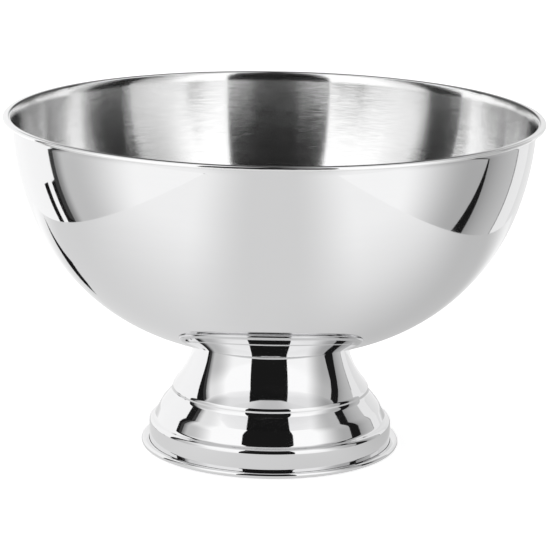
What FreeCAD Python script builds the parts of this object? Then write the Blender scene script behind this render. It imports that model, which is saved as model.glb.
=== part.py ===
import FreeCAD, Part
import math
import os

from FreeCAD import Vector

# Footed stainless-steel punch bowl, 400 mm across the rim and 251 mm tall.
#
# A spun bowl with a rolled rim sits on a spun foot with a stepped flare and a rolled base edge.
# A stud welded under the bowl passes through the closed top of the foot. A clamp plate, a flat
# washer, a spring washer and a nut pull the two shells together from inside the foot.
#
# Units are millimetres. +Z is up, the bowl's axis is the Z axis, and Z = 0 is the surface that
# the base edge rests on. Each round piece is one outline in the X-Z plane, turned about Z.

# ---- whole object ----
RIM_RADIUS = 200.0
HEIGHT = 251.0
BASE_RADIUS = 97.0
SHEET = 0.9                  # thickness of both spun shells
ROLL_GAP = 0.3               # a rolled edge stops just short of the wall it curls back to

# ---- bowl, outside surface, from the middle of its underside up to the rim ----
# Slopes are in degrees above horizontal, walking outward.
BOWL_BOTTOM = 75.1           # height of the lowest point of the underside
CROWN_RADIUS = 270.0         # shallow bottom
CROWN_SLOPE = 17.2           # where the bottom meets the side
SIDE_RADIUS = 156.0
SIDE_SLOPE = 68.3            # where the side meets the wall
WALL_SLOPE = 87.0            # where the wall starts to flare towards the rim
FLARE_RADIUS = 12.0          # gentle flare under the rolled edge, inside surface
FLARE_SLOPE = 55.0
LIP_RADIUS = 2.6             # inner corner of the rolled edge
RIM_ROLL_RADIUS = 1.6        # outer turn of the rolled edge
RIM_ROLL_RETURN = 3.6        # flat underside of the rolled edge

# ---- foot, outside surface, from the seat under the bowl down to the base ----
SEAT_HOLE_RADIUS = 7.0
NECK_START = 54.8            # radius where the seat turns down into the neck
NECK_BEND = 2.4
NECK_SLOPE = -81.0
COVE_RADIUS = 65.2           # hollow curve of the upper tier
COVE_SLOPE = -49.0
UPPER_LIP_BEND = 4.0
STEP_FILLET = 5.6
SHOULDER_SLOPE = -51.7       # sloping shoulder of the lower tier
SHOULDER_RUN = 10.0
SHOULDER_BEND = 18.0
SKIRT_SLOPE = -65.7          # steeper skirt below the shoulder
SKIRT_RUN = 6.9
LEDGE_FILLET = 3.7
LEDGE_SLOPE = -25.5          # narrow ledge that ends the lower tier
LOWER_LIP_BEND = 4.0
BAND_RADIUS = 91.1           # short upright band above the rolled base edge
BASE_ROLL_INSIDE = 1.2       # inside radius of the rolled base edge
BASE_ROLL_TILT = 16.0        # the roll's top falls towards the band

# ---- M8 fastening inside the foot ----
STUD_RADIUS = 4.0
STUD_LENGTH = 20.0
STUD_CHAMFER = 0.8
WELD_COLLAR_RADIUS = 5.4
WELD_COLLAR_HEIGHT = 0.7
CLEARANCE_HOLE_RADIUS = 4.3
PLATE_RADIUS = 32.0
PLATE_MIDDLE_THICKNESS = 3.0
PLATE_EDGE_ROUND = 0.8
WASHER_RADIUS = 12.0
WASHER_THICKNESS = 2.0
SPRING_WASHER_RADIUS = 7.4
SPRING_WASHER_THICKNESS = 2.0
SPRING_WASHER_SLIT = 0.8
NUT_ACROSS_FLATS = 13.0
NUT_HEIGHT = 6.5
NUT_CHAMFER_SLOPE = 30.0


def sine(degrees):
    return math.sin(math.radians(degrees))


def cosine(degrees):
    return math.cos(math.radians(degrees))


def arcsine(ratio):
    return math.degrees(math.asin(ratio))


class Outline:
    """A line in the X-Z plane, walked from a start point along a heading in degrees."""

    def __init__(self, x, z, heading=0.0):
        self.x = x
        self.z = z
        self.heading = heading
        self.edges = []

    def point(self):
        return Vector(self.x, 0, self.z)

    def line_to(self, x, z):
        """Turn a sharp corner and go straight to a point."""
        start = self.point()
        self.heading = math.degrees(math.atan2(z - self.z, x - self.x))
        self.x = x
        self.z = z
        self.edges.append(Part.LineSegment(start, self.point()).toShape())

    def run(self, length):
        """Go straight on, with no corner."""
        start = self.point()
        self.x += length * cosine(self.heading)
        self.z += length * sine(self.heading)
        self.edges.append(Part.LineSegment(start, self.point()).toShape())

    def bend(self, radius, heading):
        """Follow an arc of this radius until the line points along the new heading."""
        side = 1.0 if heading > self.heading else -1.0
        centre_x = self.x - side * radius * sine(self.heading)
        centre_z = self.z + side * radius * cosine(self.heading)
        places = []
        for angle in (self.heading, (self.heading + heading) / 2, heading):
            x = centre_x + side * radius * sine(angle)
            z = centre_z - side * radius * cosine(angle)
            places.append(Vector(x, 0, z))
        self.edges.append(Part.Arc(*places).toShape())
        self.x = places[-1].x
        self.z = places[-1].z
        self.heading = heading


class SheetOutline:
    """Section of a bent sheet: its face is walked, and its back follows SHEET to the right."""

    def __init__(self, x, z, heading=0.0):
        self.face = Outline(x, z, heading)
        self.back = Outline(x + SHEET * sine(heading), z - SHEET * cosine(heading), heading)
        self.start_edge = Part.LineSegment(self.face.point(), self.back.point()).toShape()

    def run(self, length):
        self.face.run(length)
        self.back.run(length)

    def run_to_x(self, x):
        self.run((x - self.face.x) / cosine(self.face.heading))

    def run_to_z(self, z):
        self.run((z - self.face.z) / sine(self.face.heading))

    def bend(self, face_radius, heading):
        turns_left = heading > self.face.heading
        back_radius = face_radius + SHEET if turns_left else face_radius - SHEET
        self.face.bend(face_radius, heading)
        self.back.bend(back_radius, heading)

    def edges(self):
        end_edge = Part.LineSegment(self.face.point(), self.back.point()).toShape()
        return [self.start_edge] + self.face.edges + self.back.edges + [end_edge]


def turned(edges):
    """Solid made by turning a closed outline about the Z axis."""
    wire = Part.Wire(Part.__sortEdges__(edges))
    return Part.Face(wire).revolve(Vector(0, 0, 0), Vector(0, 0, 1), 360)


def ring(inner_radius, outer_radius, bottom, thickness):
    """Flat ring that lies on the plane Z = bottom."""
    blank = Part.makeCylinder(outer_radius, thickness, Vector(0, 0, bottom))
    return blank.cut(Part.makeCylinder(inner_radius, thickness, Vector(0, 0, bottom)))


def underside_height(radius, depth=0.0):
    """Height of the bowl's shallow bottom at a radius, or of a surface this far below it."""
    sphere = CROWN_RADIUS + depth
    return BOWL_BOTTOM + CROWN_RADIUS - math.sqrt(sphere ** 2 - radius ** 2)


def bowl_shell():
    """Spun bowl. The face of the sheet is the inside of the bowl and the top of its rim."""
    crown = CROWN_RADIUS - SHEET
    side = SIDE_RADIUS - SHEET
    bowl = SheetOutline(0, BOWL_BOTTOM + SHEET)
    bowl.bend(crown, CROWN_SLOPE)
    bowl.bend(side, SIDE_SLOPE)
    flare_rise = FLARE_RADIUS * (cosine(FLARE_SLOPE) - cosine(WALL_SLOPE))
    lip_rise = LIP_RADIUS * (1 - cosine(FLARE_SLOPE))
    wall_rise = HEIGHT - lip_rise - flare_rise - bowl.face.z
    bowl.bend(wall_rise / (cosine(SIDE_SLOPE) - cosine(WALL_SLOPE)), WALL_SLOPE)
    bowl.bend(FLARE_RADIUS, FLARE_SLOPE)
    bowl.bend(LIP_RADIUS, 0)
    bowl.run_to_x(RIM_RADIUS - RIM_ROLL_RADIUS)
    bowl.bend(RIM_ROLL_RADIUS, -180)
    bowl.run(RIM_ROLL_RETURN)
    return turned(bowl.edges())


def foot_shell():
    """Spun foot. The face of the sheet is the seat under the bowl and the outside of the foot."""
    start_slope = arcsine(SEAT_HOLE_RADIUS / CROWN_RADIUS)
    foot = SheetOutline(SEAT_HOLE_RADIUS, underside_height(SEAT_HOLE_RADIUS), start_slope)
    foot.bend(CROWN_RADIUS, arcsine(NECK_START / CROWN_RADIUS))
    foot.bend(NECK_BEND, NECK_SLOPE)
    foot.bend(COVE_RADIUS, COVE_SLOPE)
    foot.bend(UPPER_LIP_BEND, -90)
    foot.bend(STEP_FILLET, SHOULDER_SLOPE)
    foot.run(SHOULDER_RUN)
    foot.bend(SHOULDER_BEND, SKIRT_SLOPE)
    foot.run(SKIRT_RUN)
    foot.bend(LEDGE_FILLET, LEDGE_SLOPE)
    foot.run_to_x(BAND_RADIUS - LOWER_LIP_BEND * (1 + sine(LEDGE_SLOPE)))
    foot.bend(LOWER_LIP_BEND, -90)
    foot.run_to_z(SHEET + BASE_ROLL_INSIDE)
    foot.bend(BASE_ROLL_INSIDE, 0)
    foot.run_to_x(BASE_RADIUS - SHEET - BASE_ROLL_INSIDE)
    foot.bend(BASE_ROLL_INSIDE, 180 + BASE_ROLL_TILT)
    foot.run_to_x(BAND_RADIUS + ROLL_GAP + SHEET * sine(BASE_ROLL_TILT))
    return turned(foot.edges())


def weld_stud():
    """Stud whose collar is welded to the middle of the bowl's underside."""
    tip = BOWL_BOTTOM - STUD_LENGTH
    collar_bottom = BOWL_BOTTOM - WELD_COLLAR_HEIGHT
    stud = Outline(0, BOWL_BOTTOM)
    stud.bend(CROWN_RADIUS, arcsine(WELD_COLLAR_RADIUS / CROWN_RADIUS))
    stud.line_to(WELD_COLLAR_RADIUS, collar_bottom)
    stud.line_to(STUD_RADIUS, collar_bottom)
    stud.line_to(STUD_RADIUS, tip + STUD_CHAMFER)
    stud.line_to(STUD_RADIUS - STUD_CHAMFER, tip)
    stud.line_to(0, tip)
    stud.line_to(0, BOWL_BOTTOM)
    return turned(stud.edges)


def clamp_plate(bottom):
    """Round plate with a dished top that fits under the seat, and a flat underside."""
    top_radius = CROWN_RADIUS + SHEET
    hole_top = underside_height(CLEARANCE_HOLE_RADIUS, SHEET)
    plate = Outline(CLEARANCE_HOLE_RADIUS, hole_top, arcsine(CLEARANCE_HOLE_RADIUS / top_radius))
    plate.bend(top_radius, arcsine((PLATE_RADIUS - PLATE_EDGE_ROUND) / (top_radius + PLATE_EDGE_ROUND)))
    plate.bend(PLATE_EDGE_ROUND, -90)
    plate.line_to(plate.x, bottom + PLATE_EDGE_ROUND)
    plate.bend(PLATE_EDGE_ROUND, -180)
    plate.line_to(CLEARANCE_HOLE_RADIUS, bottom)
    plate.line_to(CLEARANCE_HOLE_RADIUS, hole_top)
    return turned(plate.edges)


def flat_washer(bottom):
    return ring(CLEARANCE_HOLE_RADIUS, WASHER_RADIUS, bottom, WASHER_THICKNESS)


def spring_washer(bottom):
    """Split ring, pressed flat."""
    split = ring(STUD_RADIUS, SPRING_WASHER_RADIUS, bottom, SPRING_WASHER_THICKNESS)
    corner = Vector(0, -SPRING_WASHER_SLIT / 2, bottom)
    slit = Part.makeBox(SPRING_WASHER_RADIUS, SPRING_WASHER_SLIT, SPRING_WASHER_THICKNESS, corner)
    return split.cut(slit)


def hex_nut(bottom):
    """Hexagon nut whose corners are chamfered by a cone at both ends."""
    corner_radius = NUT_ACROSS_FLATS / 2 / cosine(30)
    corners = []
    for index in range(7):
        angle = 60 * index
        corners.append(Vector(corner_radius * cosine(angle), corner_radius * sine(angle), bottom))
    prism = Part.Face(Part.makePolygon(corners)).extrude(Vector(0, 0, NUT_HEIGHT))
    face_radius = NUT_ACROSS_FLATS / 2
    chamfer = (corner_radius - face_radius) * math.tan(math.radians(NUT_CHAMFER_SLOPE))
    envelope = Outline(STUD_RADIUS, bottom)
    envelope.line_to(face_radius, bottom)
    envelope.line_to(corner_radius, bottom + chamfer)
    envelope.line_to(corner_radius, bottom + NUT_HEIGHT - chamfer)
    envelope.line_to(face_radius, bottom + NUT_HEIGHT)
    envelope.line_to(STUD_RADIUS, bottom + NUT_HEIGHT)
    envelope.line_to(STUD_RADIUS, bottom)
    return prism.common(turned(envelope.edges))


def main():
    plate_bottom = BOWL_BOTTOM - SHEET - PLATE_MIDDLE_THICKNESS
    washer_bottom = plate_bottom - WASHER_THICKNESS
    spring_washer_bottom = washer_bottom - SPRING_WASHER_THICKNESS
    nut_bottom = spring_washer_bottom - NUT_HEIGHT
    parts = {
        "bowl_shell": bowl_shell(),
        "foot_shell": foot_shell(),
        "weld_stud": weld_stud(),
        "clamp_plate": clamp_plate(plate_bottom),
        "flat_washer": flat_washer(washer_bottom),
        "spring_washer": spring_washer(spring_washer_bottom),
        "hex_nut": hex_nut(nut_bottom),
    }
    os.makedirs("parts", exist_ok=True)
    for name, shape in parts.items():
        shape.exportStep(os.path.join("parts", name + ".step"))
        volume = round(shape.Volume / 1000, 2)
        print(name, "valid", shape.isValid(), "solids", len(shape.Solids), "cm3", volume)


main()
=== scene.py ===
import bpy
import math

from mathutils import Matrix, Vector


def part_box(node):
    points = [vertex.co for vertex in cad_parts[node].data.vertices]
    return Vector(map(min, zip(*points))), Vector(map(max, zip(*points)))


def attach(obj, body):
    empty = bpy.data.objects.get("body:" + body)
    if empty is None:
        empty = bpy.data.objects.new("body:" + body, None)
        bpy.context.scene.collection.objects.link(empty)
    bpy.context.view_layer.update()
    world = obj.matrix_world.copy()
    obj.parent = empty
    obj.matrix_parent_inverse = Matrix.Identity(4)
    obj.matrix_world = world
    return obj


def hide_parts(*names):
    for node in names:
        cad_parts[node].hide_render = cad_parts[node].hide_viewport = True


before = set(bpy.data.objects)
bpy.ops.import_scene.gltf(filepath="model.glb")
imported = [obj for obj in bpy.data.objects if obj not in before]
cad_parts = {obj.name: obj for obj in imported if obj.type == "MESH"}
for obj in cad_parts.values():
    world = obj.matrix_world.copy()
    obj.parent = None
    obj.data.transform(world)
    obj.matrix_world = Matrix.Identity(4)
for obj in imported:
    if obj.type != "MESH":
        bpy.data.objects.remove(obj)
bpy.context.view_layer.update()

# Footed stainless-steel punch bowl. The two spun shells and the stud are made again as fine
# turned meshes inside the frame's own sizes. The plate, washers and nut are the frame's solids.
# All lengths are in metres.

MM = 0.001

# ---- sizes taken from the frame ----
BOWL_LOW, BOWL_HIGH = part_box("bowl_shell")
FOOT_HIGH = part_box("foot_shell")[1]
STUD_LOW, STUD_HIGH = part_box("weld_stud")
RIM_RADIUS = BOWL_HIGH.x
HEIGHT = BOWL_HIGH.z
BOWL_BOTTOM = BOWL_LOW.z
BASE_RADIUS = FOOT_HIGH.x

# ---- sheet and bowl ----
# Slopes are in degrees above horizontal, walking outward.
SHEET = 0.9 * MM             # thickness of both spun shells
CROWN_RADIUS = 270 * MM      # shallow bottom
CROWN_SLOPE = 17.2           # where the bottom meets the side
SIDE_RADIUS = 156 * MM
SIDE_SLOPE = 68.3            # where the side meets the wall
WALL_SLOPE = 87.0            # where the wall starts to flare towards the rim
FLARE_RADIUS = 12 * MM       # gentle flare under the rolled edge
FLARE_SLOPE = 55.0
LIP_RADIUS = 2.6 * MM        # inner corner of the rolled edge
RIM_ROLL_RADIUS = 1.6 * MM   # outer turn of the rolled edge
RIM_ROLL_RETURN = 3.6 * MM   # flat underside of the rolled edge

# ---- foot ----
SEAT_HOLE_RADIUS = 7 * MM
NECK_START = 54.8 * MM       # radius where the seat turns down into the neck
NECK_BEND = 2.4 * MM
NECK_SLOPE = -81.0
COVE_RADIUS = 65.2 * MM      # hollow curve of the upper tier
COVE_SLOPE = -49.0
UPPER_LIP_BEND = 4 * MM
STEP_FILLET = 5.6 * MM
SHOULDER_SLOPE = -51.7       # sloping shoulder of the lower tier
SHOULDER_RUN = 10.0 * MM
SHOULDER_BEND = 18 * MM
SKIRT_SLOPE = -65.7          # steeper skirt below the shoulder
SKIRT_RUN = 6.9 * MM
LEDGE_FILLET = 3.7 * MM
LEDGE_SLOPE = -25.5          # narrow ledge that ends the lower tier
LOWER_LIP_BEND = 4 * MM
BAND_RADIUS = 91.1 * MM      # short upright band above the rolled base edge
BASE_ROLL_INSIDE = 1.2 * MM  # inside radius of the rolled base edge
BASE_ROLL_TILT = 16.0        # the roll's top falls towards the band
ROLL_GAP = 0.3 * MM          # the rolled edge stops just short of the band

# ---- stud ----
STUD_RADIUS = 4 * MM
STUD_CHAMFER = 0.8 * MM
WELD_COLLAR_HEIGHT = 0.7 * MM
THREAD_PITCH = 1.25 * MM
THREAD_DEPTH = 0.6 * MM
THREAD_ROUNDING = 1.3        # above 1 rounds the crests and sharpens the roots
STUD_SHARP_ANGLE = 38.0      # edges sharper than this stay sharp on the stud

# ---- fineness of the meshes ----
TURN_STEPS = 288             # faces round a turned shell
BEND_STEP = 4.0              # degrees of bend between two rings, at most
RING_SPACING = 5 * MM        # distance between two rings along a bend or run, at most
STUD_STEPS = 72              # faces round the stud
RINGS_PER_PITCH = 10
ON_AXIS = 1e-9               # a ring of a smaller radius is one point


def sine(degrees):
    return math.sin(math.radians(degrees))


def cosine(degrees):
    return math.cos(math.radians(degrees))


# ---------------------------------------------------------------- turned sheet shells

class Path:
    """A walked line in the radius-height plane, kept as (radius, height, heading) points."""

    def __init__(self, radius, height, heading=0.0):
        self.points = [(radius, height, heading)]

    def run(self, length):
        radius, height, heading = self.points[-1]
        count = max(1, math.ceil(length / RING_SPACING))
        for step in range(1, count + 1):
            way = length * step / count
            x = radius + way * cosine(heading)
            z = height + way * sine(heading)
            self.points.append((x, z, heading))

    def bend(self, bend_radius, new_heading, count):
        radius, height, heading = self.points[-1]
        side = 1.0 if new_heading > heading else -1.0
        centre_x = radius - side * bend_radius * sine(heading)
        centre_z = height + side * bend_radius * cosine(heading)
        for step in range(1, count + 1):
            angle = heading + (new_heading - heading) * step / count
            x = centre_x + side * bend_radius * sine(angle)
            z = centre_z - side * bend_radius * cosine(angle)
            self.points.append((x, z, angle))


class SheetPath:
    """Section of a bent sheet: its face is walked, and its back follows SHEET to the right."""

    def __init__(self, radius, height, heading=0.0):
        self.face = Path(radius, height, heading)
        back_start = (radius + SHEET * sine(heading), height - SHEET * cosine(heading))
        self.back = Path(*back_start, heading)

    def place(self):
        return self.face.points[-1]

    def run(self, length):
        self.face.run(length)
        self.back.run(length)

    def run_to_radius(self, radius):
        x, _, heading = self.place()
        self.run((radius - x) / cosine(heading))

    def run_to_height(self, height):
        _, z, heading = self.place()
        self.run((height - z) / sine(heading))

    def bend(self, face_radius, new_heading):
        heading = self.place()[2]
        turn = abs(new_heading - heading)
        back_radius = face_radius + math.copysign(SHEET, new_heading - heading)
        by_angle = math.ceil(turn / BEND_STEP)
        by_length = math.ceil(math.radians(turn) * face_radius / RING_SPACING)
        count = max(by_angle, by_length)
        self.face.bend(face_radius, new_heading, count)
        self.back.bend(back_radius, new_heading, count)

    def stretches(self):
        """The closed section as smooth stretches of (radius, height, normal) points."""
        face = [(x, z, (-sine(h), cosine(h))) for x, z, h in self.face.points]
        back = [(x, z, (sine(h), -cosine(h))) for x, z, h in reversed(self.back.points)]
        end_heading = self.face.points[-1][2]
        end_normal = (cosine(end_heading), sine(end_heading))
        end = [(*face[-1][:2], end_normal), (*back[0][:2], end_normal)]
        stretches = [face, end, back]
        start_radius, start_height, start_heading = self.face.points[0]
        if start_radius > 0:
            start_normal = (-cosine(start_heading), -sine(start_heading))
            start = [(*back[-1][:2], start_normal), (start_radius, start_height, start_normal)]
            stretches.append(start)
        return stretches


def turned_mesh(name, stretches, steps=TURN_STEPS):
    """Mesh made by turning a section about Z. Its shading normals are the section's own."""
    rings = []
    vertices = []
    faces = []
    corner_normals = []
    stretch_of_face = []

    def add_ring(radius, height):
        first = len(vertices)
        count = 1 if radius < ON_AXIS else steps
        for step in range(count):
            angle = 2 * math.pi * step / steps
            vertices.append((radius * math.cos(angle), radius * math.sin(angle), height))
        rings.append((first, count))
        return len(rings) - 1

    def corner(ring, step):
        first, count = rings[ring]
        return first + step % count

    def direction(normal, step):
        angle = 2 * math.pi * step / steps
        return (normal[0] * math.cos(angle), normal[0] * math.sin(angle), normal[1])

    first_ring = add_ring(*stretches[0][0][:2])
    ring = first_ring
    for stretch_index, stretch in enumerate(stretches):
        for point_index in range(1, len(stretch)):
            radius, height, normal = stretch[point_index]
            last_normal = stretch[point_index - 1][2]
            closes = stretch_index == len(stretches) - 1 and point_index == len(stretch) - 1
            returns = closes and radius > ON_AXIS
            next_ring = first_ring if returns else add_ring(radius, height)
            for step in range(steps):
                around = [(ring, step, last_normal), (next_ring, step, normal),
                          (next_ring, step + 1, normal), (ring, step + 1, last_normal)]
                face = []
                for one_ring, one_step, one_normal in around:
                    index = corner(one_ring, one_step)
                    if index in face:
                        continue
                    face.append(index)
                    corner_normals.append(direction(one_normal, one_step))
                faces.append(face)
                stretch_of_face.append(stretch_index)
            ring = next_ring
    mesh = bpy.data.meshes.new(name)
    mesh.from_pydata(vertices, [], faces)
    mesh.polygons.foreach_set("use_smooth", [True] * len(faces))
    mesh.normals_split_custom_set(corner_normals)
    return mesh, stretch_of_face


def add_piece(name, mesh, materials, slot, *nodes):
    """Visible piece that stands for the frame's nodes and rides the root."""
    piece = bpy.data.objects.new(name, mesh)
    bpy.context.scene.collection.objects.link(piece)
    for material in materials:
        mesh.materials.append(material)
    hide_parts(*nodes)
    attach(piece, "root")
    return piece


def bowl_path():
    """Face of the sheet: the inside of the bowl and the top of its rolled rim."""
    path = SheetPath(0, BOWL_BOTTOM + SHEET)
    path.bend(CROWN_RADIUS - SHEET, CROWN_SLOPE)
    path.bend(SIDE_RADIUS - SHEET, SIDE_SLOPE)
    flare_rise = FLARE_RADIUS * (cosine(FLARE_SLOPE) - cosine(WALL_SLOPE))
    lip_rise = LIP_RADIUS * (1 - cosine(FLARE_SLOPE))
    wall_rise = HEIGHT - lip_rise - flare_rise - path.place()[1]
    path.bend(wall_rise / (cosine(SIDE_SLOPE) - cosine(WALL_SLOPE)), WALL_SLOPE)
    path.bend(FLARE_RADIUS, FLARE_SLOPE)
    flare_top = path.place()[1]
    path.bend(LIP_RADIUS, 0)
    path.run_to_radius(RIM_RADIUS - RIM_ROLL_RADIUS)
    path.bend(RIM_ROLL_RADIUS, -180)
    path.run(RIM_ROLL_RETURN)
    return path, flare_top


def make_bowl(polished, satin):
    """Spun bowl, satin inside up to the foot of its lip and polished everywhere else."""
    path, flare_top = bowl_path()
    mesh, stretch_of_face = turned_mesh("bowl_shell", path.stretches())
    bowl = add_piece("bowl", mesh, [polished, satin], "bowl_steel", "bowl_shell")
    for polygon, stretch in zip(mesh.polygons, stretch_of_face):
        inside = stretch == 0 and polygon.center.z < flare_top
        polygon.material_index = 1 if inside else 0
    return bowl


def foot_path():
    """Face of the sheet: the foot's outside, from the seat under the bowl to the base edge."""
    seat_centre = BOWL_BOTTOM + CROWN_RADIUS
    start_slope = math.degrees(math.asin(SEAT_HOLE_RADIUS / CROWN_RADIUS))
    neck_slope = math.degrees(math.asin(NECK_START / CROWN_RADIUS))
    path = SheetPath(SEAT_HOLE_RADIUS, seat_centre - CROWN_RADIUS * cosine(start_slope), start_slope)
    path.bend(CROWN_RADIUS, neck_slope)
    path.bend(NECK_BEND, NECK_SLOPE)
    path.bend(COVE_RADIUS, COVE_SLOPE)
    path.bend(UPPER_LIP_BEND, -90)
    path.bend(STEP_FILLET, SHOULDER_SLOPE)
    path.run(SHOULDER_RUN)
    path.bend(SHOULDER_BEND, SKIRT_SLOPE)
    path.run(SKIRT_RUN)
    path.bend(LEDGE_FILLET, LEDGE_SLOPE)
    path.run_to_radius(BAND_RADIUS - LOWER_LIP_BEND * (1 + sine(LEDGE_SLOPE)))
    path.bend(LOWER_LIP_BEND, -90)
    path.run_to_height(SHEET + BASE_ROLL_INSIDE)
    path.bend(BASE_ROLL_INSIDE, 0)
    path.run_to_radius(BASE_RADIUS - SHEET - BASE_ROLL_INSIDE)
    path.bend(BASE_ROLL_INSIDE, 180 + BASE_ROLL_TILT)
    path.run_to_radius(BAND_RADIUS + ROLL_GAP + SHEET * sine(BASE_ROLL_TILT))
    return path


def make_foot(polished, spun):
    """Spun foot, plain inside and polished everywhere else."""
    mesh, stretch_of_face = turned_mesh("foot_shell", foot_path().stretches())
    foot = add_piece("foot", mesh, [polished, spun], "foot_steel", "foot_shell")
    for polygon, stretch in zip(mesh.polygons, stretch_of_face):
        rolled = polygon.center.xy.length > BAND_RADIUS
        back_or_hole_edge = stretch in (2, 3)
        inside = back_or_hole_edge and not rolled
        polygon.material_index = 1 if inside else 0
    return foot


# ---------------------------------------------------------------- shader helpers

class Nodes:
    """Short-hand for building a node tree."""

    def __init__(self, tree):
        tree.nodes.clear()
        self.tree = tree

    def add(self, kind, inputs=None, **settings):
        node = self.tree.nodes.new(kind)
        for name, value in settings.items():
            setattr(node, name, value)
        for key, value in (inputs or {}).items():
            self.feed(node.inputs[key], value)
        return node

    def feed(self, socket, value):
        if isinstance(value, bpy.types.NodeSocket):
            self.tree.links.new(value, socket)
        else:
            socket.default_value = value

    def maths(self, operation, *values):
        node = self.add("ShaderNodeMath", operation=operation)
        for socket, value in zip(node.inputs, values):
            self.feed(socket, value)
        return node.outputs[0]

    def spread(self, value, low, high, new_low, new_high, smooth=False):
        kind = "SMOOTHSTEP" if smooth else "LINEAR"
        ranges = {"Value": value, "From Min": low, "From Max": high,
                  "To Min": new_low, "To Max": new_high}
        return self.add("ShaderNodeMapRange", ranges, interpolation_type=kind).outputs[0]

    def split(self, vector):
        return self.add("ShaderNodeSeparateXYZ", {0: vector}).outputs

    def join(self, x, y, z):
        return self.add("ShaderNodeCombineXYZ", {0: x, 1: y, 2: z}).outputs[0]

    def noise(self, vector, detail=3.0, roughness=0.6):
        inputs = {"Vector": vector, "Scale": 1.0, "Detail": detail, "Roughness": roughness}
        return self.add("ShaderNodeTexNoise", inputs).outputs["Fac"]


def turned_place(nodes, outward):
    """(cos, sin, distance along the section) of a point on a turned piece."""
    x, y, z = nodes.split(nodes.add("ShaderNodeTexCoord").outputs["Object"])
    squares = nodes.maths("ADD", nodes.maths("MULTIPLY", x, x), nodes.maths("MULTIPLY", y, y))
    radius = nodes.maths("MAXIMUM", nodes.maths("SQRT", squares), 1e-6)
    along = nodes.maths("ADD", nodes.maths("MULTIPLY", z, outward), radius)
    return nodes.maths("DIVIDE", x, radius), nodes.maths("DIVIDE", y, radius), along


def turning_lines(nodes, place, around, across, detail=3.0):
    """Noise drawn out round the piece: few changes around it, many across."""
    cosine_part, sine_part, along = place
    vector = nodes.join(nodes.maths("MULTIPLY", cosine_part, around),
                        nodes.maths("MULTIPLY", sine_part, around),
                        nodes.maths("MULTIPLY", along, across))
    return nodes.noise(vector, detail)


def groove_normal(nodes, place, around, across, slope):
    """Normal tipped up and down the section by fine grooves that run round the piece."""
    grooves = turning_lines(nodes, place, around, across, 1.0)
    tip = nodes.maths("MULTIPLY", nodes.maths("SUBTRACT", grooves, 0.5), slope)
    normal = nodes.add("ShaderNodeNewGeometry").outputs["Normal"]
    round_way = nodes.add("ShaderNodeTangent", direction_type="RADIAL", axis="Z").outputs[0]
    up_way = nodes.add("ShaderNodeVectorMath", {0: normal, 1: round_way}, operation="CROSS_PRODUCT")
    tipped = nodes.add("ShaderNodeVectorMath", {0: up_way.outputs[0], 1: nodes.join(tip, tip, tip),
                                                2: normal}, operation="MULTIPLY_ADD")
    return nodes.add("ShaderNodeVectorMath", {0: tipped.outputs[0]}, operation="NORMALIZE").outputs[0]


def steel(name, tint, gloss, grain, outward=1.0, anisotropy=0.0, cloud=0.0, groove=None):
    """Metal with turning lines.

    gloss is (least, most) roughness, grain is (changes around, changes per metre across,
    colour swing), cloud is how far handling marks raise roughness, and groove is (changes
    around, changes per metre across, slope) of the grooves.
    """
    material = bpy.data.materials.new(name)
    material.use_nodes = True
    nodes = Nodes(material.node_tree)
    around, across, swing = grain
    place = turned_place(nodes, outward)
    lines = turning_lines(nodes, place, around, across)
    broad = turning_lines(nodes, place, around * 0.4, across * 0.12, 2.0)
    mixed = nodes.maths("MULTIPLY_ADD", broad, 0.4, nodes.maths("MULTIPLY", lines, 0.6))
    shade = nodes.spread(mixed, 0.3, 0.7, 1.0 - swing, 1.0 + swing)
    colour = nodes.join(*[nodes.maths("MULTIPLY", shade, part) for part in tint])
    roughness = nodes.spread(mixed, 0.3, 0.7, *gloss)
    if cloud:
        object_place = nodes.add("ShaderNodeTexCoord").outputs["Object"]
        scaled = nodes.add("ShaderNodeVectorMath", {0: object_place, "Scale": 22.0}, operation="SCALE")
        patches = nodes.noise(scaled.outputs[0], 4.0, 0.55)
        roughness = nodes.maths("ADD", roughness, nodes.spread(patches, 0.45, 0.75, 0.0, cloud, True))
    tangent = nodes.add("ShaderNodeTangent", direction_type="RADIAL", axis="Z")
    surface = nodes.add("ShaderNodeBsdfPrincipled", {
        "Base Color": colour, "Metallic": 1.0, "Roughness": roughness,
        "Anisotropic": anisotropy, "Anisotropic Rotation": 0.25, "Tangent": tangent.outputs[0]})
    if groove:
        nodes.feed(surface.inputs["Normal"], groove_normal(nodes, place, *groove))
    nodes.add("ShaderNodeOutputMaterial", {"Surface": surface.outputs[0]})
    return material


# ---------------------------------------------------------------- stud

def thread_radius(height, angle):
    """Radius of the M8 thread, a groove that climbs one pitch a turn."""
    phase = (height / THREAD_PITCH - angle / (2 * math.pi)) % 1.0
    return STUD_RADIUS - THREAD_DEPTH * (1 - abs(2 * phase - 1)) ** THREAD_ROUNDING


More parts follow.
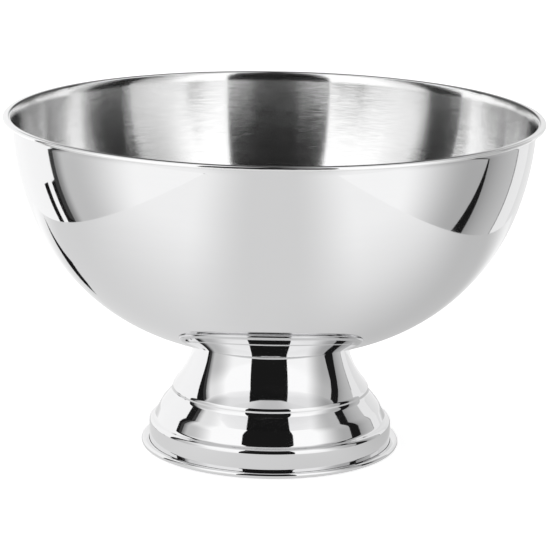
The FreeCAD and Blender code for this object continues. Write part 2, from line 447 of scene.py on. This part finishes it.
def make_stud(material):
    """Threaded stud with a welded collar and a chamfered tip."""
    tip = STUD_LOW.z
    thread_top = BOWL_BOTTOM - WELD_COLLAR_HEIGHT
    ring_gap = THREAD_PITCH / RINGS_PER_PITCH
    levels = [tip + ring_gap * index for index in range(int((thread_top - tip) / ring_gap))]
    collar_radius = STUD_HIGH.x
    seat_centre = BOWL_BOTTOM + CROWN_RADIUS
    collar_top = seat_centre - math.sqrt(CROWN_RADIUS ** 2 - collar_radius ** 2)
    angles = [2 * math.pi * step / STUD_STEPS for step in range(STUD_STEPS)]
    vertices = [(0, 0, tip)]
    for level in levels + [thread_top]:
        cone = STUD_RADIUS - STUD_CHAMFER + (level - tip)
        for angle in angles:
            radius = min(thread_radius(level, angle), cone)
            vertices.append((radius * math.cos(angle), radius * math.sin(angle), level))
    for level in (thread_top, collar_top):
        for angle in angles:
            vertices.append((collar_radius * math.cos(angle), collar_radius * math.sin(angle), level))
    vertices.append((0, 0, BOWL_BOTTOM))
    faces = [(0, 1 + (step + 1) % STUD_STEPS, 1 + step) for step in range(STUD_STEPS)]
    ring_count = len(levels) + 3
    for ring in range(ring_count - 1):
        low = 1 + ring * STUD_STEPS
        high = low + STUD_STEPS
        for step in range(STUD_STEPS):
            after = (step + 1) % STUD_STEPS
            faces.append((low + step, low + after, high + after, high + step))
    top = 1 + (ring_count - 1) * STUD_STEPS
    last = len(vertices) - 1
    faces += [(last, top + step, top + (step + 1) % STUD_STEPS) for step in range(STUD_STEPS)]
    mesh = bpy.data.meshes.new("weld_stud")
    mesh.from_pydata(vertices, [], faces)
    mesh.shade_smooth()
    mesh.set_sharp_from_angle(angle=math.radians(STUD_SHARP_ANGLE))
    return add_piece("stud", mesh, [material], "stud_steel", "weld_stud")


def dress_nodes(finishes):
    """Give the frame's own solids their finish."""
    for name, material in finishes.items():
        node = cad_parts[name]
        for slot in node.material_slots:
            slot.material = material


# ---------------------------------------------------------------- studio

# The camera looks along +Y. Places are (x, y), and heights are above the table top. Brightness
# is 1 where a card looks white in a perfect mirror.
LEFT_EDGE = -0.44            # sides of the table top, where the panels stand
RIGHT_EDGE = 0.412
TABLE_FRONT = -2.0
BACK = 0.47                  # back of the table top, where the back board stands
WHITE = 1.2                  # a lit panel

PANEL_TOP = 2.2
LEFT_PANEL_FRONT = -0.865
LEFT_PANEL_LEAN = 0.17       # how far the front edge leans back by the top
LEFT_PANEL_BACK = 0.003
LEFT_PANEL_BORDER = 0.5      # brightness of the back edge
RIGHT_PANEL_FRONT = -1.0
RIGHT_PANEL_LEAN = 0.35
RIGHT_PANEL_BACK = -0.035    # above the slanted foot of the back edge
RIGHT_PANEL_BACK_LOW = -0.09
RIGHT_PANEL_SLANT_TOP = 0.2
BORDER_WIDTH = 0.05

BOARD_LOW = -1.0             # below the table top, so that no gap shows past its edges
BACK_BOARD_TOP = 0.68
SIDE_BOARD_TOP = 1.3
BACK_BOARD_ENDS = ((-0.5, BACK), (0.5, BACK))
LEFT_BOARD_END = (-0.78, 0.24)
RIGHT_BOARD_END = (0.62, 0.35)
GREY_BOARD_END = (1.3, 0.25)

FLAP_END = (-0.86, 0.174)    # white flap on the left board's end, its top edge sloping
FLAP_LOW = -0.05
FLAP_END_TOP = 0.13
FLAP_BOARD_TOP = 0.6
STAND_END = (-0.46, 0.038)   # dark stand at the left panel's back edge
STAND_TOP = 0.4
LEFT_POST = ((-0.63, 0.204), (-0.606, 0.238))
RIGHT_POST = ((0.61, 0.335), (0.605, 0.342))
POST_LOW = -0.3
LEFT_POST_TOP = 0.01
RIGHT_POST_TOP = 0.3
CLIP_OUTLINE = ((-0.43, 0.28), (-0.3, 0.19), (-0.235, 0.156), (-0.205, 0.132), (-0.235, 0.117),
                (-0.29, 0.13), (-0.32, 0.165))
CLIP_HEIGHT = 0.002

TABLE_LEVEL = 0.77
CEILING_START = 57.0         # degrees above the horizon where the bright ceiling starts
CEILING_FULL = 58.5
CEILING_TILT = 0.32          # brings the ceiling lower behind the bowl
CEILING_LEVEL = 1.2
MIDDLE_LEVEL = 0.06          # the ceiling's dark middle, against CEILING_LEVEL
MIDDLE_SPREAD = 0.48         # the dark middle's half width, against the distance along Y
ROOM_LEVEL = 0.0145
CAMERA_WHITE = 0.95

FLOOR_REACH = 40.0
FLOOR_DROP = 0.0004          # keeps the floor just clear of the base edge
FLOOR_GLOW = 0.62            # keeps the shadow under the bowl pale
KEY_LIGHT_SIZE = 6.0
KEY_LIGHT_POWER = 140.0
KEY_LIGHT_HEIGHT = 3.0


def add_card(name, corners, brightness):
    """Card seen only in reflections. brightness takes (nodes, x, y, z) and returns a socket."""
    mesh = bpy.data.meshes.new(name)
    mesh.from_pydata(corners, [], [range(len(corners))])
    card = bpy.data.objects.new(name, mesh)
    bpy.context.scene.collection.objects.link(card)
    material = bpy.data.materials.new(name)
    material.use_nodes = True
    nodes = Nodes(material.node_tree)
    x, y, z = nodes.split(nodes.add("ShaderNodeTexCoord").outputs["Object"])
    glow = nodes.add("ShaderNodeEmission", {"Strength": brightness(nodes, x, y, z)})
    nodes.add("ShaderNodeOutputMaterial", {"Surface": glow.outputs[0]})
    mesh.materials.append(material)
    card.visible_camera = False
    card.visible_diffuse = False
    card.visible_shadow = False


def upright(start, end, low, high):
    """Corners of an upright card between two (x, y) places."""
    return [(*start, low), (*end, low), (*end, high), (*start, high)]


def plain(level):
    """The same brightness all over a card."""
    return lambda nodes, x, y, z: nodes.maths("ADD", level, 0.0)


def make_panels():
    """Tall diffusing panels either side of the bowl, dimmer low down and towards the back."""
    def panel(dim_from, dim_to, dimmest, upper, back, border):
        def brightness(nodes, x, y, z):
            fade = nodes.spread(y, dim_from, dim_to, 0.94, dimmest, True)
            lift = nodes.spread(z, 0.14, 0.3, 0.0, upper, True)
            level = nodes.maths("MINIMUM", nodes.maths("ADD", fade, lift), 1.0)
            edge = nodes.spread(y, back - BORDER_WIDTH, back, WHITE, border, True)
            return nodes.maths("MULTIPLY", level, edge)
        return brightness

    left = [(LEFT_PANEL_FRONT, 0), (LEFT_PANEL_BACK, 0), (LEFT_PANEL_BACK, PANEL_TOP),
            (LEFT_PANEL_FRONT + LEFT_PANEL_LEAN, PANEL_TOP)]
    left_light = panel(-0.36, -0.08, 0.52, 0.25, LEFT_PANEL_BACK, LEFT_PANEL_BORDER)
    add_card("left_panel", [(LEFT_EDGE, y, z) for y, z in left], left_light)
    right = [(RIGHT_PANEL_FRONT, 0), (RIGHT_PANEL_BACK_LOW, 0),
             (RIGHT_PANEL_BACK, RIGHT_PANEL_SLANT_TOP), (RIGHT_PANEL_BACK, PANEL_TOP),
             (RIGHT_PANEL_FRONT + RIGHT_PANEL_LEAN, PANEL_TOP)]
    right_light = panel(-0.38, -0.1, 0.4, 0.07, RIGHT_PANEL_BACK, WHITE)
    add_card("right_panel", [(RIGHT_EDGE, y, z) for y, z in right], right_light)


def make_boards():
    """White boards behind the bowl, and the grey one that ends them on the right."""
    def centre(nodes, x, y, z):
        """White low down and towards the sides, with a dark middle that widens with height."""
        reach = nodes.spread(z, 0.36, 0.5, 0.1, 0.3)
        beyond = nodes.maths("SUBTRACT", nodes.maths("ABSOLUTE", x), reach)
        outer = nodes.spread(beyond, 0.0, 0.15, 0.0, 1.0, True)
        low = nodes.spread(z, 0.26, 0.36, 1.0, 0.12, True)
        side = nodes.spread(x, -0.5, 0.5, 1.1, 0.85)
        return nodes.maths("MULTIPLY", nodes.maths("MAXIMUM", outer, low), side)

    def grey(nodes, x, y, z):
        return nodes.spread(x, RIGHT_BOARD_END[0], GREY_BOARD_END[0], 0.62, 0.34)

    back_left, back_right = BACK_BOARD_ENDS
    add_card("back_board", upright(back_left, back_right, BOARD_LOW, BACK_BOARD_TOP), centre)
    sides = {"left_board": (LEFT_BOARD_END, back_left, plain(1.1)),
             "right_board": (RIGHT_BOARD_END, back_right, plain(0.95)),
             "grey_board": (GREY_BOARD_END, RIGHT_BOARD_END, grey)}
    for name, (start, end, brightness) in sides.items():
        add_card(name, upright(start, end, BOARD_LOW, SIDE_BOARD_TOP), brightness)
    flap = [(*FLAP_END, FLAP_LOW), (*LEFT_BOARD_END, FLAP_LOW), (*LEFT_BOARD_END, FLAP_BOARD_TOP),
            (*FLAP_END, FLAP_END_TOP)]
    add_card("left_flap", flap, plain(1.1))


def make_dark_things():
    """The stand, the posts and the clip that show as thin dark lines in the steel."""
    panel_end = (LEFT_EDGE, LEFT_PANEL_BACK)
    add_card("left_stand", upright(panel_end, STAND_END, 0.0, STAND_TOP), plain(0.05))
    add_card("left_post", upright(*LEFT_POST, POST_LOW, LEFT_POST_TOP), plain(0.01))
    add_card("right_post", upright(*RIGHT_POST, POST_LOW, RIGHT_POST_TOP), plain(0.12))
    add_card("clip", [(x, y, CLIP_HEIGHT) for x, y in CLIP_OUTLINE], plain(0.01))


def make_table():
    """Glossy pale table top that the steel mirrors, drawn as a glowing card whose light and shade are
    painted.
    """
    def brightness(nodes, x, y, z):
        """Painted light: bright wings towards the camera and brighter behind, and a painted soft shade
        beside the bowl.
        """
        across = nodes.maths("ABSOLUTE", x)
        forward = nodes.maths("MULTIPLY", y, -1.0)
        distance = nodes.maths("MAXIMUM", nodes.maths("ADD", forward, 0.12), 0.05)
        bearing = nodes.maths("DIVIDE", across, distance)
        # painted light: pools of light on the card towards the camera, either side of the bowl
        painted_light_wing = nodes.spread(bearing, 0.1, 0.5, 0.0, 1.0, True)
        near = nodes.spread(forward, -0.02, 0.4, 0.0, 0.3, True)
        glow = nodes.maths("MULTIPLY", painted_light_wing, near)
        painted_light_behind = nodes.maths("MULTIPLY", nodes.spread(y, 0.12, 0.42, 0.0, 0.34, True),
                             nodes.spread(x, -0.2, 0.5, 1.0, 0.55))
        off_line = nodes.maths("ABSOLUTE", nodes.maths("SUBTRACT", y, 0.08))
        # painted shade: the card is darker to the right of the bowl, around y = 0.08
        shade = nodes.maths("MULTIPLY", nodes.spread(x, -0.05, 0.12, 0.0, 0.17, True),
                            nodes.spread(off_line, 0.05, 0.3, 1.0, 0.0, True))
        lit = nodes.maths("ADD", TABLE_LEVEL, glow)
        return nodes.maths("ADD", lit, nodes.maths("SUBTRACT", painted_light_behind, shade))

    corners = [(LEFT_EDGE, TABLE_FRONT, 0), (RIGHT_EDGE, TABLE_FRONT, 0), (RIGHT_EDGE, BACK, 0),
               (LEFT_EDGE, BACK, 0)]
    add_card("table", corners, brightness)


def make_floor():
    """Pale matte floor that the camera sees."""
    mesh = bpy.data.meshes.new("floor")
    corners = [(-FLOOR_REACH, -FLOOR_REACH, 0), (FLOOR_REACH, -FLOOR_REACH, 0),
               (FLOOR_REACH, FLOOR_REACH, 0), (-FLOOR_REACH, FLOOR_REACH, 0)]
    mesh.from_pydata(corners, [], [(0, 1, 2, 3)])
    floor = bpy.data.objects.new("floor", mesh)
    floor.location.z = -FLOOR_DROP
    bpy.context.scene.collection.objects.link(floor)
    material = bpy.data.materials.new("floor")
    material.use_nodes = True
    nodes = Nodes(material.node_tree)
    place = nodes.add("ShaderNodeTexCoord").outputs["Object"]
    scaled = nodes.add("ShaderNodeVectorMath", {0: place, "Scale": 3.0}, operation="SCALE")
    shade = nodes.spread(nodes.noise(scaled.outputs[0]), 0.3, 0.7, 0.93, 0.95)
    matte = nodes.add("ShaderNodeBsdfDiffuse", {"Color": nodes.join(shade, shade, shade)})
    glow = nodes.add("ShaderNodeEmission", {"Strength": FLOOR_GLOW})
    surface = nodes.add("ShaderNodeAddShader", {0: matte.outputs[0], 1: glow.outputs[0]})
    nodes.add("ShaderNodeOutputMaterial", {"Surface": surface.outputs[0]})
    mesh.materials.append(material)
    floor.visible_glossy = False


def make_world():
    """White to the camera. Reflections see a dim room with a bright ceiling either side."""
    world = bpy.data.worlds.new("studio")
    bpy.context.scene.world = world
    world.use_nodes = True
    nodes = Nodes(world.node_tree)
    x, y, z = nodes.split(nodes.add("ShaderNodeTexCoord").outputs["Generated"])
    aside = nodes.maths("ABSOLUTE", x)
    off_centre = nodes.maths("MULTIPLY_ADD", nodes.maths("ABSOLUTE", y), -MIDDLE_SPREAD, aside)
    sides = nodes.spread(off_centre, 0.0, 0.03, MIDDLE_LEVEL, CEILING_LEVEL)
    rise = nodes.maths("MULTIPLY_ADD", nodes.maths("MAXIMUM", y, 0.0), CEILING_TILT, z)
    ceiling = nodes.spread(rise, sine(CEILING_START), sine(CEILING_FULL), 0.0, 1.0)
    light = nodes.maths("MULTIPLY_ADD", sides, ceiling, ROOM_LEVEL)
    is_camera = nodes.add("ShaderNodeLightPath").outputs["Is Camera Ray"]
    room = nodes.add("ShaderNodeBackground", {"Strength": light})
    white = nodes.add("ShaderNodeBackground", {"Strength": CAMERA_WHITE})
    mixed = nodes.add("ShaderNodeMixShader", {0: is_camera, 1: room.outputs[0], 2: white.outputs[0]})
    nodes.add("ShaderNodeOutputWorld", {"Surface": mixed.outputs[0]})
    world.cycles_visibility.diffuse = False


def make_key_light():
    """Wide soft light above, which only the floor shows."""
    lamp = bpy.data.lights.new("sky_light", "AREA")
    lamp.shape = "DISK"
    lamp.size = KEY_LIGHT_SIZE
    lamp.energy = KEY_LIGHT_POWER
    light = bpy.data.objects.new("sky_light", lamp)
    bpy.context.scene.collection.objects.link(light)
    light.location = (0, 0, KEY_LIGHT_HEIGHT)
    light.visible_glossy = False
    light.visible_camera = False


# ---------------------------------------------------------------- camera

CAMERA_PLACE = Vector((0.0, -1.9859, 0.6065))
CAMERA_PITCH = 13.515        # degrees below the horizon
CAMERA_ROLL = 0.900          # degrees that the picture leans clockwise
CAMERA_PAN = 0.063           # degrees to the right
CAMERA_LENS = 178.7          # mm
SENSOR_WIDTH = 36.0          # mm


def make_camera():
    camera_data = bpy.data.cameras.new("camera")
    camera_data.lens = CAMERA_LENS
    camera_data.sensor_width = SENSOR_WIDTH
    camera = bpy.data.objects.new("camera", camera_data)
    bpy.context.scene.collection.objects.link(camera)
    turn = Matrix.Rotation(math.radians(-CAMERA_PAN), 4, "Z")
    tilt = Matrix.Rotation(math.radians(90 - CAMERA_PITCH), 4, "X")
    lean = Matrix.Rotation(math.radians(CAMERA_ROLL), 4, "Z")
    camera.matrix_world = Matrix.Translation(CAMERA_PLACE) @ turn @ tilt @ lean
    bpy.context.scene.camera = camera


def make_pieces():
    """Make the turned pieces and finish every piece of the object."""
    polished = steel("polished_steel", (0.80, 0.80, 0.805), (0.02, 0.05), (6.0, 900.0, 0.006),
                     cloud=0.02, groove=(3.0, 120.0, 0.004))
    satin = steel("satin_steel", (0.9, 0.9, 0.9), (0.13, 0.16), (9.0, 1100.0, 0.03),
                  anisotropy=1.0, groove=(14.0, 16000.0, 0.7))
    make_bowl(polished, satin)
    foot_polish = steel("polished_foot", (0.80, 0.80, 0.805), (0.02, 0.05), (6.0, 900.0, 0.006),
                        outward=-1.0, cloud=0.02, groove=(4.0, 260.0, 0.012))
    spun = steel("spun_steel", (0.62, 0.62, 0.62), (0.24, 0.34), (8.0, 700.0, 0.08),
                 outward=-1.0, anisotropy=0.7, groove=(10.0, 1500.0, 0.25))
    make_foot(foot_polish, spun)
    turned = steel("turned_steel", (0.58, 0.575, 0.57), (0.24, 0.36), (5.0, 2500.0, 0.08),
                   anisotropy=0.4)
    make_stud(turned)
    mill = steel("mill_steel", (0.56, 0.56, 0.565), (0.32, 0.46), (30.0, 600.0, 0.08),
                 anisotropy=0.3, cloud=0.08)
    stamped = steel("stamped_steel", (0.62, 0.62, 0.62), (0.22, 0.34), (20.0, 800.0, 0.06),
                    anisotropy=0.2, cloud=0.06)
    spring = steel("spring_steel", (0.44, 0.44, 0.45), (0.3, 0.42), (20.0, 800.0, 0.08),
                   anisotropy=0.2, cloud=0.08)
    formed = steel("formed_steel", (0.6, 0.6, 0.6), (0.2, 0.32), (16.0, 900.0, 0.06),
                   anisotropy=0.1, cloud=0.08)
    dress_nodes({"clamp_plate": mill, "flat_washer": stamped, "spring_washer": spring,
                 "hex_nut": formed})


def make_studio():
    make_panels()
    make_boards()
    make_dark_things()
    make_table()
    make_floor()
    make_world()
    make_key_light()
    make_camera()
    bpy.context.scene.view_settings.view_transform = "Standard"


make_pieces()
make_studio()
